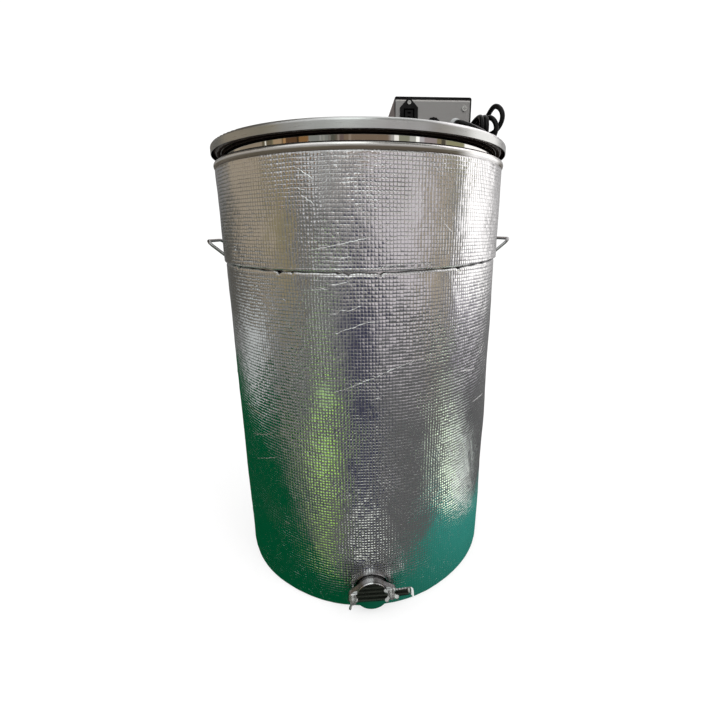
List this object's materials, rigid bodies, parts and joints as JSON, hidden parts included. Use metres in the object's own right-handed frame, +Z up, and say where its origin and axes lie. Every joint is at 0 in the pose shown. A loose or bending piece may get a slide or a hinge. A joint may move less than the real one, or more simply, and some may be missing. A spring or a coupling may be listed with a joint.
{
  "type": "honey settling tank",
  "caption": "Tall round steel honey tank in foil-faced insulation, with side handles, a lift-off lid, a swing gate at the foot and a heat controller on the lid.",
  "frame": {"origin": "centre of the base plate's underside, on the tank's axis at the floor", "axes": "+Z up along the tank's axis, the outlet gate faces -Y, the handles are on +X and -X"},
  "size_m": [0.5876, 0.5576, 0.8626],
  "materials": {
    "satin_steel": "satin stainless sheet, brushed",
    "polished_steel": "polished stainless steel",
    "foil": "metallised foil with an embossed grid, on foam",
    "pad_foam": "closed-cell foam",
    "heater": "matt silicone mat",
    "black_rubber": "matt rubber",
    "seal_silicone": "matt silicone",
    "zinc_steel": "bright zinc-plated steel",
    "case_steel": "satin steel sheet",
    "black_plastic": "moulded black plastic",
    "gland_plastic": "moulded light grey plastic",
    "board": "green circuit board",
    "board_metal": "matt aluminium",
    "ivory_plastic": "moulded ivory plastic",
    "cord_rubber": "glossy black flex",
    "pin_brass": "nickel-plated pins"
  },
  "bodies": {
    "tank": {"tank_wall": "satin_steel", "tank_floor": "satin_steel", "base_plate": "satin_steel", "base_pad": "pad_foam", "heating_mat": "heater", "lead_grommet": "black_rubber", "insulation_lower": "foil", "insulation_upper": "foil", "left_handle": "satin_steel", "right_handle": "satin_steel", "outlet_stub": "satin_steel", "gate_body": "polished_steel", "gate_seal": "seal_silicone", "pivot_bolt": "zinc_steel", "clamp_bolt": "zinc_steel", "gate_washers": "zinc_steel"},
    "lid": {"lid_panel": "satin_steel", "lid_grip": "satin_steel", "controller_case": "case_steel", "controller_cover": "black_plastic", "cover_screws": "zinc_steel", "case_bolts": "zinc_steel", "case_nuts": "zinc_steel", "outlet_socket": "black_plastic", "outlet_screws": "zinc_steel", "heat_control": "black_plastic", "control_nut": "zinc_steel", "gland_body": "gland_plastic", "gland_nut": "gland_plastic", "gland_locknut": "gland_plastic", "earth_screw": "zinc_steel", "earth_nut": "zinc_steel", "regulator_board": "board", "board_posts": "ivory_plastic", "board_parts": "board_metal", "terminal_block": "ivory_plastic", "cord_lead": "cord_rubber", "cord_hank": "cord_rubber", "cord_tail": "cord_rubber", "cord_tie": "black_rubber", "plug_body": "black_plastic", "plug_pins": "pin_brass"},
    "gate": {"gate_plate": "polished_steel"},
    "pivot_nut": {"pivot_wing_nut": "zinc_steel"},
    "clamp_nut": {"clamp_wing_nut": "zinc_steel"},
    "knob": {"control_shaft": "zinc_steel", "control_knob": "black_plastic"}
  },
  "joints": [
    {"name": "lid_lift", "type": "slide", "parent": "tank", "child": "lid", "axis": [0, 0, 1], "range_m": [0, 0.3]},
    {"name": "gate_swing", "type": "hinge", "parent": "tank", "child": "gate", "pos_m": [-0.03337, -0.276, 0.03608], "axis": [0, -1, 0], "range_deg": [0, 100]},
    {"name": "pivot_nut_turn", "type": "hinge", "parent": "tank", "child": "pivot_nut", "pos_m": [-0.03337, -0.283, 0.03608], "axis": [0, -1, 0], "range_deg": [0, 360]},
    {"name": "clamp_nut_turn", "type": "hinge", "parent": "tank", "child": "clamp_nut", "pos_m": [0.03337, -0.283, 0.04192], "axis": [0, -1, 0], "range_deg": [0, 360]},
    {"name": "knob_turn", "type": "hinge", "parent": "lid", "child": "knob", "pos_m": [0.109, -0.148, 0.8116], "axis": [0, 1, 0], "range_deg": [0, 300]}
  ]
}
